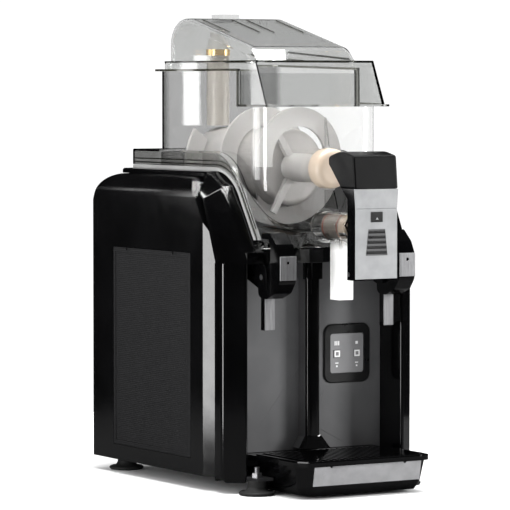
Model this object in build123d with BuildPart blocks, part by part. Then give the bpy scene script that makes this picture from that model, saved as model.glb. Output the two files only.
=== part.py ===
from build123d import *
import math
import os

os.makedirs("parts", exist_ok=True)

# Slush machine, one bowl.  Millimetres.  X to the right seen from the front, front is -Y, +Z up.
# The origin is on the surface that the feet stand on, under the centre of the whole machine.

# ---- driving dimensions ----
half_width = 160.0          # outside of the side panels
body_rear = 258.5           # rear face of the side panels
body_top = 436.0            # top of the side panels
body_bottom = 20.0          # the feet lift the body this far
skin = 3.0                  # wall of the moulded covers
clear_gap = 0.3             # gap between pieces that only lie close

pillar_outer = 157.0        # outer corner of the front pillars
pillar_inner = 126.5        # inner corner of the front pillars
pillar_bottom = 15.0
pillar_top = 318.0
recess_face = -76.5         # front of the panel behind the cup

axis_z = 448.0              # auger, drum and gearbox axis, along Y
bowl_half = 96.0            # outside of the bowl's side walls
bowl_front = -127.5
bowl_rear = 162.5
bowl_bottom = 353.0
bowl_corner = 80.0          # bottom corners of the bowl's section
bowl_wall = 3.0
rim_rear = 583.8            # bowl rim at the back and sides
rim_front = 533.8           # lower bowl rim at the front
rim_step = -57.0            # where the rim steps down

slope = math.radians(33.7)  # lean of the sloped front, from the vertical
cover_top = 443.0
skirt_half = 110.0
skirt_rear = 224.5

tap_z = 368.0
spout_y = -170.5
lever_front = -258.5
lever_pivot_y = -240.0
lever_pivot_z = 306.0

clamp_x = 98.0
clamp_width = 26.0
clamp_pivot_y = -143.5
clamp_pivot_z = 300.0

foot_x = 121.0
foot_front_y = -143.5
foot_rear_y = 226.0


def finish(builder, label):
    """Label a finished sub-part and write it."""
    builder.part.label = label
    export_step(builder.part, f"parts/{label}.step")


def yz(x):
    """Sketch plane across X: local x is Y, local y is Z, normal +X."""
    return Plane.YZ.offset(x)


def facing_front(y):
    """Sketch plane facing the front: local x is X, local y is Z, normal -Y."""
    return Plane(origin=(0, y, 0), x_dir=(1, 0, 0), z_dir=(0, -1, 0))


def box_between(lo, hi, mode=Mode.ADD):
    """An axis-aligned box given by two corners."""
    size = [hi[i] - lo[i] for i in range(3)]
    centre = [(hi[i] + lo[i]) / 2 for i in range(3)]
    with Locations(tuple(centre)):
        Box(size[0], size[1], size[2], mode=mode)


def y_cylinder(x, z, radius, y_low, y_high, mode=Mode.ADD):
    """A cylinder along Y."""
    with Locations((x, (y_low + y_high) / 2, z)):
        Cylinder(radius, y_high - y_low, rotation=(90, 0, 0), mode=mode)


def x_cylinder(y, z, radius, x_low, x_high, mode=Mode.ADD):
    """A cylinder along X."""
    with Locations(((x_low + x_high) / 2, y, z)):
        Cylinder(radius, x_high - x_low, rotation=(0, 90, 0), mode=mode)


def z_cylinder(x, y, radius, z_low, z_high, mode=Mode.ADD):
    """A cylinder along Z."""
    with Locations((x, y, (z_low + z_high) / 2)):
        Cylinder(radius, z_high - z_low, mode=mode)


# =====================================================================
# Base: pan, feet
# =====================================================================
pan_half = 154.0
pan_front = -64.0
pan_rear = 250.0
pan_height = 14.0
sheet = 2.0
foot_places = [
    (x, y) for x in (-foot_x, foot_x) for y in (foot_front_y, foot_rear_y)
]
foot_arm_inner = foot_x - 17.0
foot_arm_outer = foot_x + 8.5
foot_arm_front = foot_front_y - 16.0
foot_arm_thick = 4.0
stud_radius = 4.0


def build_base_pan():
    """Folded steel tray that carries everything, with an arm under each front foot."""
    with BuildPart() as base_pan:
        box_between((-pan_half, pan_front, body_bottom),
                    (pan_half, pan_rear, body_bottom + pan_height))
        box_between((-pan_half + sheet, pan_front + sheet, body_bottom + sheet),
                    (pan_half - sheet, pan_rear - sheet, body_bottom + pan_height + 1),
                    mode=Mode.SUBTRACT)
        for side in (-1, 1):
            x_low = min(side * foot_arm_inner, side * foot_arm_outer)
            x_high = max(side * foot_arm_inner, side * foot_arm_outer)
            box_between((x_low, foot_arm_front, body_bottom),
                        (x_high, pan_front + sheet, body_bottom + foot_arm_thick))
        for x, y in foot_places:
            z_cylinder(x, y, stud_radius + clear_gap, body_bottom - 1, body_bottom + 8, Mode.SUBTRACT)
        with BuildSketch(Plane.XY.offset(body_bottom - 1)):
            with Locations((0, 90)):
                with GridLocations(1, 16, 1, 9):
                    SlotOverall(90, 6)
        extrude(amount=sheet + 2, mode=Mode.SUBTRACT)
    finish(base_pan, "base_pan")


foot_names = {
    (-foot_x, foot_front_y): "foot_front_left",
    (foot_x, foot_front_y): "foot_front_right",
    (-foot_x, foot_rear_y): "foot_rear_left",
    (foot_x, foot_rear_y): "foot_rear_right",
}
foot_radius = 25.0
foot_stem = 13.0


def build_foot(x, y, name):
    """Rubber-soled levelling foot: a thin disc that flares up into a stem."""
    with BuildPart() as foot:
        with BuildSketch(Plane(origin=(x, y, 0), x_dir=(1, 0, 0), z_dir=(0, -1, 0))):
            with BuildLine():
                Polyline((0, 0), (foot_radius - 1.5, 0), (foot_radius, 1.5), (foot_radius, 3.5),
                         (foot_radius - 2, 5))
                ThreePointArc((foot_radius - 2, 5), (foot_stem + 2.5, 7.0), (foot_stem, 11))
                Polyline((foot_stem, 11), (foot_stem, body_bottom - clear_gap),
                         (0, body_bottom - clear_gap), (0, 0))
            make_face()
        revolve(axis=Axis((x, y, 0), (0, 0, 1)))
        z_cylinder(x, y, stud_radius, 8, body_bottom + 1, Mode.SUBTRACT)
    finish(foot, name)


def build_foot_studs():
    """The threaded studs of the feet, each with its lock nut on the pan."""
    with BuildPart() as foot_studs:
        for x, y in foot_places:
            z_cylinder(x, y, stud_radius, 8, 38)
        for x, y in foot_places:
            nut_bottom = body_bottom + (foot_arm_thick if y < 0 else sheet)
            with BuildSketch(Plane.XY.offset(nut_bottom)):
                with Locations((x, y)):
                    RegularPolygon(7.5, 6)
            extrude(amount=6)
    finish(foot_studs, "foot_studs")


# =====================================================================
# Side panels and their vent filters
# =====================================================================
panel_front = -78.5
panel_shoulder = 28.0
rear_round = 58.0           # rounded rear top corner of the body
vent_y = (-28.5, 194.5)
vent_z = (42.0, 330.0)
ledge = 7.0
screw_x = 140.0
screw_heights = (80.0, 220.0, 360.0)
screw_radius = 2.0


def panel_outline(inset, low):
    """Side view of the side cover, shrunk by inset; low is the bottom edge."""
    rear = body_rear - inset
    top = body_top - inset
    front = panel_front + inset
    lean = rear_round * math.tan(slope)
    points = [(rear, low), (rear, top), (-12 + inset / 2, top), (front + lean, 408), (front, 350), (front, low)]
    FilletPolyline(*points, radius=[0.5, rear_round - inset, 30, 30, 60, 0.5], close=True)


def cheek_block(inset, low, x_low):
    """Solid block under the side cover's outer surface: side view and front view intersected, edges cut."""
    outer = half_width - inset
    top = body_top - inset
    rear = body_rear - inset
    front = panel_front + inset
    with BuildPart(mode=Mode.PRIVATE) as block:
        with BuildSketch(yz(x_low)):
            with BuildLine():
                panel_outline(inset, low)
            make_face()
        extrude(amount=outer - x_low + 1)
        with BuildSketch(facing_front(300)):
            with BuildLine():
                round_over = panel_shoulder - inset
                Polyline((outer, top - round_over), (outer, low - 1), (x_low - 1, low - 1), (x_low - 1, top + 1),
                         (outer - round_over, top + 1), (outer - round_over, top))
                CenterArc((outer - round_over, top - round_over), round_over, 0, 90)
            make_face()
        extrude(amount=500, mode=Mode.INTERSECT)
        with BuildSketch(Plane.XY.offset(low - 1)):
            with BuildLine():
                Polyline((outer + 1, front + 17), (outer + 1, front - 2), (outer - 12, front - 2), close=True)
            make_face()
            with BuildLine():
                Polyline((outer + 1, rear - 4), (outer + 1, rear + 1), (outer - 4, rear + 1), close=True)
            make_face()
        extrude(amount=500, mode=Mode.SUBTRACT)
    return block.part


def build_side_panel(side, name):
    """One-piece side cover: flat cheek, rounded shoulder, bevelled front edge, vent opening."""
    inner = half_width - skin
    outside = cheek_block(0, body_bottom, 130)
    inside = cheek_block(skin, body_bottom - 10, 120)
    with BuildPart() as panel:
        add(outside)
        add(inside, mode=Mode.SUBTRACT)
        box_between((inner - 5, vent_y[0] - ledge, vent_z[0] - ledge),
                    (inner, vent_y[1] + ledge, vent_z[1] + ledge))
        box_between((inner - 6, vent_y[0] + ledge, vent_z[0] + ledge),
                    (half_width + 1, vent_y[1] - ledge, vent_z[1] - ledge), Mode.SUBTRACT)
        box_between((inner - 2, vent_y[0], vent_z[0]),
                    (half_width + 1, vent_y[1], vent_z[1]), Mode.SUBTRACT)
        for z in screw_heights:
            y_cylinder(screw_x, z, screw_radius + 0.1, body_rear - 8, body_rear + 1, Mode.SUBTRACT)
        if side < 0:
            mirror(about=Plane.YZ, mode=Mode.REPLACE)
    finish(panel, name)


filter_gap = 0.6
notch_places = (0.2, 0.8)


def build_vent_cover(side, name):
    """Pull-off vent cover: a frame with a fine dust screen and two finger notches in its upper edge."""
    y_low = vent_y[0] + filter_gap
    y_high = vent_y[1] - filter_gap
    z_low = vent_z[0] + filter_gap
    z_high = vent_z[1] - filter_gap
    back = half_width - skin - 1.7
    border = 6.0
    with BuildPart() as frame:
        box_between((back, y_low, z_low), (half_width - 0.2, y_high, z_high))
        box_between((half_width - 1.0, y_low + border, z_low + border),
                    (half_width, y_high - border, z_high - border), Mode.SUBTRACT)
        box_between((back - 1, y_low + border, z_low + border),
                    (half_width - 2.4, y_high - border, z_high - border), Mode.SUBTRACT)
        for share in notch_places:
            y = y_low + share * (y_high - y_low)
            box_between((half_width - 1.6, y - 7, z_high - 3.5), (half_width, y + 7, z_high + 1),
                        Mode.SUBTRACT)
        if side < 0:
            mirror(about=Plane.YZ, mode=Mode.REPLACE)
    finish(frame, name)


# =====================================================================
# Front frame, recess panel, column, top cover
# =====================================================================
arm_sections = (
    (skirt_half - 10, [(-126.8, 333), (-90.2, 388), (-62.3, 424.8), (-20, 442.6), (-20, 436.3), (-50, 414),
                       (-108, 333)]),
    (pillar_inner, [(-133.5, 317), (-86, 388), (-62, 422), (-20, 443), (-20, 436.3), (-50, 409), (-92, 317)]),
    (pillar_outer, [(-107, 317), (-71.5, 388), (-60, 407), (-50, 415), (-48.5, 413), (-57, 405), (-92.5, 317)]),
)
pillar_plan = [(157, -90), (157, -108.5), (126.5, -133.5), (126.5, -69.5), (129.6, -69.5), (129.6, -79.5),
               (150, -79.5)]
pillar_hollow = [(153.5, -91.5), (153.5, -107), (130, -126), (130, -83), (148.5, -83)]


rail_inner = 107.6           # ledges on the pillars that carry the tray's rim
rail_low = 38.0
rail_top = 44.8
header_low = 317.0
lip_half = 99.0


def build_front_frame():
    """Gloss front moulding: two hollow pillars, the arms that lean back beside the bowl, lip and tray ledges."""
    with BuildPart() as frame:
        with BuildSketch(Plane.XY.offset(pillar_bottom)):
            with BuildLine():
                FilletPolyline(*pillar_plan, radius=[2, 9, 3.5, 0.5, 0.5, 0.5, 3], close=True)
            make_face()
        extrude(amount=pillar_top - pillar_bottom)
        with BuildSketch(Plane.XZ.offset(60)):
            with BuildLine():
                Polyline((158, pillar_bottom - 1), (158, 22), (157, 22), (151, pillar_bottom),
                         (151, pillar_bottom - 1), close=True)
            make_face()
        extrude(amount=80, mode=Mode.SUBTRACT)
        with BuildSketch(Plane.XY.offset(pillar_bottom - 1)):
            with BuildLine():
                Polyline(*pillar_hollow, close=True)
            make_face()
        extrude(amount=pillar_top - pillar_bottom - 7, mode=Mode.SUBTRACT)
        for x, outline in arm_sections:
            with BuildSketch(yz(x)):
                with BuildLine():
                    Polyline(*outline, close=True)
                make_face()
        loft(ruled=True)
        mirror(about=Plane.YZ)
        box_between((-pillar_inner - 1, -128, header_low), (pillar_inner + 1, -84, 333))
        box_between((-lip_half, -132, header_low + 0.5), (lip_half, -124, 336))
        for side in (-1, 1):
            x_low = min(side * rail_inner, side * (pillar_inner + 0.5))
            x_high = max(side * rail_inner, side * (pillar_inner + 0.5))
            box_between((x_low, -126, rail_low), (x_high, recess_face - 0.2, rail_top))
            x_low = min(side * (foot_arm_inner - 0.5), side * (foot_arm_outer + 0.5))
            x_high = max(side * (foot_arm_inner - 0.5), side * (foot_arm_outer + 0.5))
            box_between((x_low, -170, pillar_bottom - 1),
                        (x_high, -60, body_bottom + foot_arm_thick + clear_gap), Mode.SUBTRACT)
    finish(frame, "front_frame")


panel_bottom = 24.4
bezel_centre = (68.5, 183.5)
bezel_size = (78.0, 84.0)
plate_size = 56.0


def build_recess_panel():
    """Back wall of the cup bay, with the cut-out for the controls."""
    with BuildPart() as panel:
        box_between((-pillar_inner + clear_gap, recess_face, panel_bottom),
                    (pillar_inner - clear_gap, recess_face + skin, pillar_top - clear_gap))
        with BuildSketch(facing_front(recess_face + skin + 1)):
            with Locations(bezel_centre):
                RectangleRounded(bezel_size[0] - 8, bezel_size[1] - 8, 8)
        extrude(amount=skin + 2, mode=Mode.SUBTRACT)
        with BuildSketch(facing_front(recess_face + skin + 1)):
            for z in (90, 180, 270):
                with Locations((0, z)):
                    Circle(2.2)
        extrude(amount=skin + 2, mode=Mode.SUBTRACT)
    finish(panel, "recess_panel")


column_front = -100.5
column_half = 11.5


def build_drain_column():
    """Hollow column up the middle of the bay, with a wider head and a flared foot."""
    with BuildPart() as column:
        with BuildSketch(Plane.XY.offset(54)):
            with BuildLine():
                FilletPolyline((-column_half, recess_face - 0.1), (-column_half, column_front),
                               (column_half, column_front), (column_half, recess_face - 0.1),
                               radius=[0.3, 8, 8, 0.3], close=True)
            make_face()
        extrude(amount=261)
        with BuildSketch(Plane.XY.offset(292)):
            with BuildLine():
                FilletPolyline((-15, recess_face - 0.1), (-15, -105), (15, -105), (15, recess_face - 0.1),
                               radius=[0.3, 10, 10, 0.3], close=True)
            make_face()
        extrude(amount=23)
        with BuildSketch(Plane.XY.offset(54)):
            with Locations((0, (recess_face - 0.1 - 108) / 2)):
                Rectangle(43, 108 + recess_face - 0.1)
        with BuildSketch(Plane.XY.offset(72)):
            with Locations((0, (recess_face - 0.1 + column_front) / 2)):
                Rectangle(2 * column_half - 1, recess_face - 0.1 - column_front - 1)
        loft(ruled=True)
        with BuildSketch(Plane.XY.offset(53)):
            with Locations((0, (recess_face + column_front) / 2)):
                RectangleRounded(2 * column_half - 6, 17, 3)
        extrude(amount=258, mode=Mode.SUBTRACT)
    finish(column, "drain_column")


def build_top_cover():
    """Deck cover between the side panels, open where the bowl sinks in, with a curved apron at the back."""
    apron_half = 129.7
    apron_low = 371.0
    centre_y = body_rear - rear_round
    centre_z = body_top - rear_round
    with BuildPart() as cover:
        box_between((-133, -19.7, body_top + clear_gap), (133, 230.5, cover_top))
        rear_edges = cover.edges().filter_by(Axis.Z).filter_by(lambda e: e.center().Y > 200)
        fillet(rear_edges, 22)
        rim = cover.faces().sort_by(Axis.Z)[-1].edges().filter_by(lambda e: e.center().Y > -10)
        chamfer(rim, 2)
        with BuildSketch(yz(-apron_half)):
            with BuildLine():
                outer = rear_round
                inner = rear_round - 2
                Line((centre_y, body_top), (centre_y, centre_z + inner))
                CenterArc((centre_y, centre_z), inner, 90, -90)
                Line((centre_y + inner, centre_z), (centre_y + inner, apron_low))
                Line((centre_y + inner, apron_low), (centre_y + outer, apron_low))
                Line((centre_y + outer, apron_low), (centre_y + outer, centre_z))
                CenterArc((centre_y, centre_z), outer, 0, 90)
            make_face()
        extrude(amount=2 * apron_half)
        box_between((-apron_half, centre_y - 20, body_top - 2), (apron_half, centre_y + 0.5, body_top + 1))
        box_between((-100, -30, body_top - 10), (100, 168, cover_top + 1), Mode.SUBTRACT)
        box_between((-32, 160, body_top - 30), (32, 217.2, cover_top + 1), Mode.SUBTRACT)
    finish(cover, "top_cover")


# =====================================================================
# Bowl, skirt, gasket, cradle
# =====================================================================
def bowl_section(grow):
    """Front view of the bowl: straight walls over a rounded bottom, grown by grow."""
    half = bowl_half + grow
    bottom = bowl_bottom - grow
    corner = bowl_corner + grow
    FilletPolyline((-half, 700), (-half, bottom), (half, bottom), (half, 700),
                   radius=[0.2, corner, corner, 0.2], close=True)


def tub_solid(grow, y_low, y_high, corner, mode):
    """The bowl's volume with rounded front corners."""
    with BuildPart(mode=Mode.PRIVATE) as block:
        with BuildSketch(facing_front(y_high)):
            with BuildLine():
                bowl_section(grow)
            make_face()
        extrude(amount=y_high - y_low)
        front = block.faces().sort_by(Axis.Y)[0].edges().filter_by(lambda e: e.center().Z < 699)
        fillet(front, corner)
    add(block.part, mode=mode)


def skirt_corner(offset):
    """Corner of the deck line, offset outward from the cover's surface: top line meets the slope line."""
    top = cover_top + offset
    y = -54.0 - offset * (1 - math.sin(slope)) / math.cos(slope)
    return y, top


def skirt_front(offset, z):
    """Point on the sloped deck line at height z, at an outward offset."""
    y, top = skirt_corner(offset)
    return y - (top - z) * math.tan(slope), z


def skirt_band(outer_offset, slope_offset, inner_offset, rear, low):
    """Side view of a band along the deck: raised on top, close to the slope in front."""
    y_line, _ = skirt_front(slope_offset, cover_top + outer_offset)
    outer_corner = (y_line, cover_top + outer_offset)
    outer_end = skirt_front(slope_offset, low)
    inner_corner = skirt_corner(inner_offset)
    inner_end = skirt_front(inner_offset, low)
    inner_rear = (rear, cover_top + inner_offset)
    points = [inner_rear, (rear, cover_top + outer_offset), outer_corner, outer_end, inner_end, inner_corner]
    FilletPolyline(*points, radius=[0.2, 3, 90, 0.2, 0.2, 75], close=True)


skirt_inner = 100.5          # inside the gasket strips


def build_bowl():
    """Clear bowl with its skirt: a rounded tub, a shelf behind it and a flange down both sides."""
    with BuildPart() as bowl:
        with BuildSketch(yz(-skirt_half)):
            with BuildLine():
                skirt_band(28, 6, 5.5, skirt_rear, 338)
            make_face()
        extrude(amount=2 * skirt_half)
        with BuildSketch(yz(-skirt_inner)):
            with BuildLine():
                skirt_band(28, 6, 2.9, 200, 338)
            make_face()
        extrude(amount=2 * skirt_inner)
        with BuildSketch(yz(-skirt_half + bowl_wall)):
            with BuildLine():
                skirt_band(25, 3, -2, skirt_rear - bowl_wall, 341)
            make_face()
        extrude(amount=2 * (skirt_half - bowl_wall), mode=Mode.SUBTRACT)
        tub_solid(0, bowl_front, bowl_rear, 33, Mode.ADD)
        tub_solid(-bowl_wall, bowl_front + bowl_wall, bowl_rear - bowl_wall, 30, Mode.SUBTRACT)
        box_between((-120, bowl_front - 10, rim_front), (120, rim_step, 720), Mode.SUBTRACT)
        box_between((-120, rim_step - 1, rim_rear), (120, bowl_rear + 10, 720), Mode.SUBTRACT)
        y_cylinder(0, tap_z, 17.5, bowl_front - 5, bowl_front + 10, Mode.SUBTRACT)
        y_cylinder(0, axis_z, 12.5, bowl_front - 5, bowl_front + 10, Mode.SUBTRACT)
        y_cylinder(0, axis_z, 17.3, bowl_rear - 10, bowl_rear + 5, Mode.SUBTRACT)
        for side in (-1, 1):
            box_between((side * clamp_x - 11, -152, 340), (side * clamp_x + 11, -123.2, 349))
        tub_solid(-bowl_wall, bowl_front + bowl_wall, bowl_rear - bowl_wall, 30, Mode.SUBTRACT)
    finish(bowl, "bowl")


def build_bowl_gasket():
    """Soft strip between the bowl's skirt and the deck, down both sides and across the back."""
    with BuildPart() as gasket:
        with BuildSketch(yz(-skirt_half)):
            with BuildLine():
                skirt_band(5.3, 5.3, 0.25, skirt_rear, 350)
            make_face()
        extrude(amount=2 * skirt_half)
        box_between((-101, -200, 300), (101, skirt_rear - 7, 500), Mode.SUBTRACT)
    finish(gasket, "bowl_gasket")


def build_bowl_cradle():
    """Insulated trough under the bowl."""
    with BuildPart() as cradle:
        with BuildSketch(facing_front(150)):
            with BuildLine():
                bowl_section(3.4)
            make_face()
        extrude(amount=185)
        with BuildSketch(facing_front(151)):
            with BuildLine():
                bowl_section(0.4)
            make_face()
        extrude(amount=187, mode=Mode.SUBTRACT)
        box_between((-200, -200, body_top - 0.3), (200, 300, 800), Mode.SUBTRACT)
        box_between((-12, -20, 340), (12, 140, 352.7), Mode.ADD)
    finish(cradle, "bowl_cradle")


# =====================================================================
# Lid
# =====================================================================
lid_half = 98.0
dome_half = 85.0


def lid_volume(inset, extra):
    """Outer volume of the lid, shrunk by inset; extra reaches below the rim."""
    low_rear = 584.0 - extra
    low_front = 534.0 - extra
    shoulder = 598.0 - inset
    with BuildPart(mode=Mode.PRIVATE) as volume:
        box_between((-lid_half + inset, rim_step - 6, low_rear), (lid_half - inset, 168.5 - inset, shoulder))
        with BuildSketch(yz(-lid_half + inset)):
            with BuildLine():
                Polyline((rim_step - inset * 0.5, low_front), (rim_step - inset * 0.5, shoulder),
                         (-100.5 + inset * 0.4, shoulder),
                         (-131.0 + inset, low_front), close=True)
            make_face()
        extrude(amount=2 * (lid_half - inset))
        corners = volume.edges().filter_by(Axis.Z).filter_by(lambda e: e.center().Y > 100)
        fillet(corners, 24 - inset)
        with BuildSketch(yz(-dome_half + inset)):
            with BuildLine():
                FilletPolyline((164.5 - inset, 590), (164.5 - inset, 660 - inset), (113.5, 660 - inset),
                               (-62, 617 - inset), (-84 + inset, 596 - inset), (-84 + inset, 590),
                               radius=[0.3, 38 - inset, 30, 18, 6, 0.3], close=True)
            make_face()
        extrude(amount=2 * (dome_half - inset))
        dome_top = volume.edges().filter_by(
            lambda e: abs(abs(e.center().X) - (dome_half - inset)) < 0.5 and e.center().Z > 602)
        fillet(dome_top, 12 - inset)
    return volume.part


def build_lid():
    """Clear lift-off lid: domed, stepped down in front like the bowl's rim, with a flange all round."""
    outer = lid_volume(0, 0)
    inner = lid_volume(bowl_wall, 5)
    with BuildPart() as lid:
        add(outer)
        box_between((-102, rim_step, 584), (102, 172.5, 587))
        box_between((-102, -135.5, 534), (102, rim_step, 537))
        box_between((-102, rim_step - 3, 534), (102, rim_step, 587))
        box_between((-16, 170, 584), (16, 179, 587))
        box_between((-14, 128, 655), (14, 160, 666.5))
        add(inner, mode=Mode.SUBTRACT)
        box_between((-94.5, rim_step + 0.1, 560), (94.5, 161, 585), Mode.SUBTRACT)
        box_between((-110, rim_step + 0.01, 500), (110, 190, 583.99), Mode.SUBTRACT)
    finish(lid, "lid")


# =====================================================================
# Cold drum, auger and drive
# =====================================================================
drum_radius = 55.0
drum_front = -40.0
drum_rear = 157.0
auger_radius = 85.0
auger_bore = 58.0
auger_pitch = 94.0
auger_turned = 129.0         # angle of the blade's rear end
auger_rear = 118.0
auger_front = -80.0
blade = 5.0
hub_radius = 20.0
hub_back = -44.0
shaft_radius = 6.0


def build_drum():
    """Stainless evaporator drum with its neck through the bowl's back wall."""
    with BuildPart() as drum:
        y_cylinder(0, axis_z, drum_radius, drum_front, drum_rear)
        fillet(drum.edges().filter_by(GeomType.CIRCLE), 9)
        y_cylinder(0, axis_z, 15, drum_rear - 20, 185)
        y_cylinder(0, axis_z, drum_radius - 2, drum_front + 12, drum_rear - 12, Mode.SUBTRACT)
        y_cylinder(0, axis_z, shaft_radius + 0.05, drum_front - 10, 200, Mode.SUBTRACT)
    finish(drum, "evaporator_drum")


def build_neck_seal():
    """Rubber ring that seals the drum's neck in the bowl's back wall."""
    with BuildPart() as seal:
        y_cylinder(0, axis_z, 17.3, bowl_rear - 3, bowl_rear + 1)
        y_cylinder(0, axis_z, 19, bowl_rear + 0.05, bowl_rear + 4)
        y_cylinder(0, axis_z, 15, bowl_rear - 10, bowl_rear + 10, Mode.SUBTRACT)
    finish(seal, "neck_seal")


def helix_blade(inner, outer, y_start, y_end):
    """A screw blade about the auger axis, running forward."""
    middle = (inner + outer) / 2
    path = Helix(pitch=auger_pitch, height=y_start - y_end, radius=middle, center=(0, y_start, axis_z),
                 direction=(0, -1, 0)).rotate(Axis((0, 0, axis_z), (0, 1, 0)), auger_turned)
    start = path @ 0
    tangent = path % 0
    radial = Vector(start.X, 0, start.Z - axis_z).normalized()
    profile_plane = Plane(origin=start, x_dir=radial, z_dir=tangent)
    with BuildSketch(profile_plane) as section:
        Rectangle(outer - inner, blade)
    sweep(sections=section.sketch, path=path, is_frenet=True)


def build_auger():
    """White screw that turns round the drum, closed in front onto a hub."""
    with BuildPart() as auger:
        helix_blade(auger_bore, auger_radius, auger_rear, auger_front)
        y_cylinder(0, axis_z, hub_radius, -121, hub_back)
        y_cylinder(0, axis_z, 12.4, -131.5, -115)
        y_cylinder(0, axis_z, shaft_radius, -112, hub_back + 1, Mode.SUBTRACT)
        with BuildSketch(facing_front(hub_back)):
            with Locations((0, axis_z)):
                for angle in (0, 120, 240):
                    with Locations(Location((0, 0), angle)):
                        with Locations(((hub_radius + auger_bore) / 2 + 4, 0)):
                            Rectangle(auger_bore - hub_radius + 26, 9)
        extrude(amount=7)
    finish(auger, "auger")


def build_drive_shaft():
    """Steel shaft from the gearbox through the drum to the auger's hub."""
    with BuildPart() as shaft:
        y_cylinder(0, axis_z, shaft_radius, -112, 205)
    finish(shaft, "drive_shaft")


def build_nose_cap():
    """Ivory cap over the auger's front journal, outside the bowl."""
    with BuildPart() as cap:
        y_cylinder(0, axis_z, 28, -152, bowl_front - 0.2)
        fillet(cap.faces().sort_by(Axis.Y)[0].edges(), 9)
        y_cylinder(0, axis_z, 12.5, -135, -120, Mode.SUBTRACT)
    finish(cap, "nose_cap")


def build_gear_motor():
    """Gear case under the skirt's shelf with its motor hanging below."""
    with BuildPart() as motor:
        box_between((-28, 187, 398), (28, 216, 465))
        fillet(motor.edges().filter_by(Axis.Y), 10)
        z_cylinder(0, 203, 27, 300, 399)
        y_cylinder(0, axis_z, shaft_radius + 0.05, 180, 210, Mode.SUBTRACT)
    finish(motor, "gear_motor")


def build_motor_bracket():
    """Steel bracket from the pan up to the gear case."""
    with BuildPart() as bracket:
        box_between((-34, 232, body_bottom + sheet), (34, 235, 408))
        box_between((-34, 213, body_bottom + sheet), (34, 235, body_bottom + sheet + 3))
        box_between((-34, 216.05, 405), (34, 235, 408))
        box_between((-20, 216.05, 405), (20, 219, 428))
    finish(bracket, "motor_bracket")


# =====================================================================
# Light column in the bowl
# =====================================================================
light_x = -12.0
light_y = 142.0


def build_light_tube():
    """Pale tube that stands at the back of the bowl on a bracket and reaches up into the lid."""
    with BuildPart() as tube:
        z_cylinder(light_x, light_y, 16.5, 505, 607)
        z_cylinder(light_x, light_y, 17.2, 540, 552)
        box_between((light_x - 9, light_y + 10, 540), (light_x + 9, bowl_rear - bowl_wall - 0.1, 552))
        z_cylinder(light_x, light_y, 14.0, 500, 605, Mode.SUBTRACT)
    finish(tube, "light_tube")


def build_light_collar():
    """Brass collar near the tube's top."""
    with BuildPart() as collar:
        z_cylinder(light_x, light_y, 17.5, 607, 616)
        z_cylinder(light_x, light_y, 10, 600, 620, Mode.SUBTRACT)
    finish(collar, "light_collar")


def build_light_cap():
    """Pale cone over the collar."""
    with BuildPart() as cap:
        with BuildSketch(Plane.XY.offset(616)):
            with Locations((light_x, light_y)):
                Circle(17)
        with BuildSketch(Plane.XY.offset(644)):
            with Locations((light_x, light_y)):
                Circle(10)
        loft()
    finish(cap, "light_cap")


# =====================================================================
# Tap: housing, piston, lever
# =====================================================================
piston_radius = 17.5
piston_rear = -146.0
piston_front = -190.0
ring_places = (-150.0, -186.0)
ring_half = 1.6
ring_depth = 2.2
tap_mouth = -210.0
ear_bore_front = -241.0     # the bore's line also trims the ears, so the piston can come forward
spout_half = 11.5
spout_bottom = 267.0
ear_inner = 17.0
ear_outer = 21.0
pivot_radius = 3.0
running = 0.05              # radial gap of the running fits
piston_gap = 0.35           # radial gap between piston and bore


def build_tap_body():
    """Clear tap: flange on the bowl, horizontal cylinder, square spout and two ears for the lever."""
    with BuildPart() as tap:
        y_cylinder(0, tap_z, 24, bowl_front - 3.2, bowl_front - 0.1)
        y_cylinder(0, tap_z, 20.5, tap_mouth, bowl_front - 1)
        box_between((-spout_half, spout_y - spout_half, spout_bottom),
                    (spout_half, spout_y + spout_half, tap_z - 12))
        for x in (-ear_outer, ear_inner):
            with BuildSketch(yz(x)):
                with BuildLine():
                    FilletPolyline((-184, 374), (-209, 374), (-247, 314), (-247, 299), (-233, 299), (-226, 318),
                                   (-196, 356), radius=[3, 10, 6, 6.5, 6.5, 10, 3], close=True)
                make_face()
            extrude(amount=ear_outer - ear_inner)
        y_cylinder(0, tap_z, piston_radius + piston_gap, ear_bore_front, bowl_front + 1, Mode.SUBTRACT)
        box_between((-spout_half + 2, spout_y - spout_half + 2, spout_bottom - 1),
                    (spout_half - 2, spout_y + spout_half - 2, tap_z - 8), Mode.SUBTRACT)
        x_cylinder(lever_pivot_y, lever_pivot_z, pivot_radius + running, -30, 30, Mode.SUBTRACT)
    finish(tap, "tap_body")


def build_tap_piston():
    """Piston that closes the spout, with two ring grooves."""
    with BuildPart() as piston:
        y_cylinder(0, tap_z, piston_radius, piston_front, piston_rear)
        for y in ring_places:
            y_cylinder(0, tap_z, piston_radius + 1, y - ring_half, y + ring_half, Mode.SUBTRACT)
        y_cylinder(0, tap_z, piston_radius - ring_depth, piston_front, piston_rear)
    finish(piston, "tap_piston")


def build_piston_rings():
    """The two rubber rings of the piston."""
    with BuildPart() as rings:
        for y in ring_places:
            y_cylinder(0, tap_z, piston_radius, y - ring_half + 0.05, y + ring_half - 0.05)
        y_cylinder(0, tap_z, piston_radius - ring_depth + 0.02, piston_front, piston_rear, Mode.SUBTRACT)
    finish(rings, "piston_rings")


def build_piston_nose():
    """Ivory front end of the piston, with the rod that the lever pulls."""
    with BuildPart() as nose:
        y_cylinder(0, tap_z, piston_radius - 0.1, -205, piston_front - 0.05)
        y_cylinder(0, tap_z, 5, -231, -204)
        chamfer(nose.edges().filter_by(GeomType.CIRCLE).filter_by(
            lambda e: abs(e.center().Y + 205) < 0.1 and e.radius > 10), 2)
    finish(nose, "piston_nose")


lever_half = 33.5
lever_rear = -233.5
lever_body_front = lever_front + 2.5
lever_bottom = 298.0
plate_bottom = 300.0
cap_seam = 423.0


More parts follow.
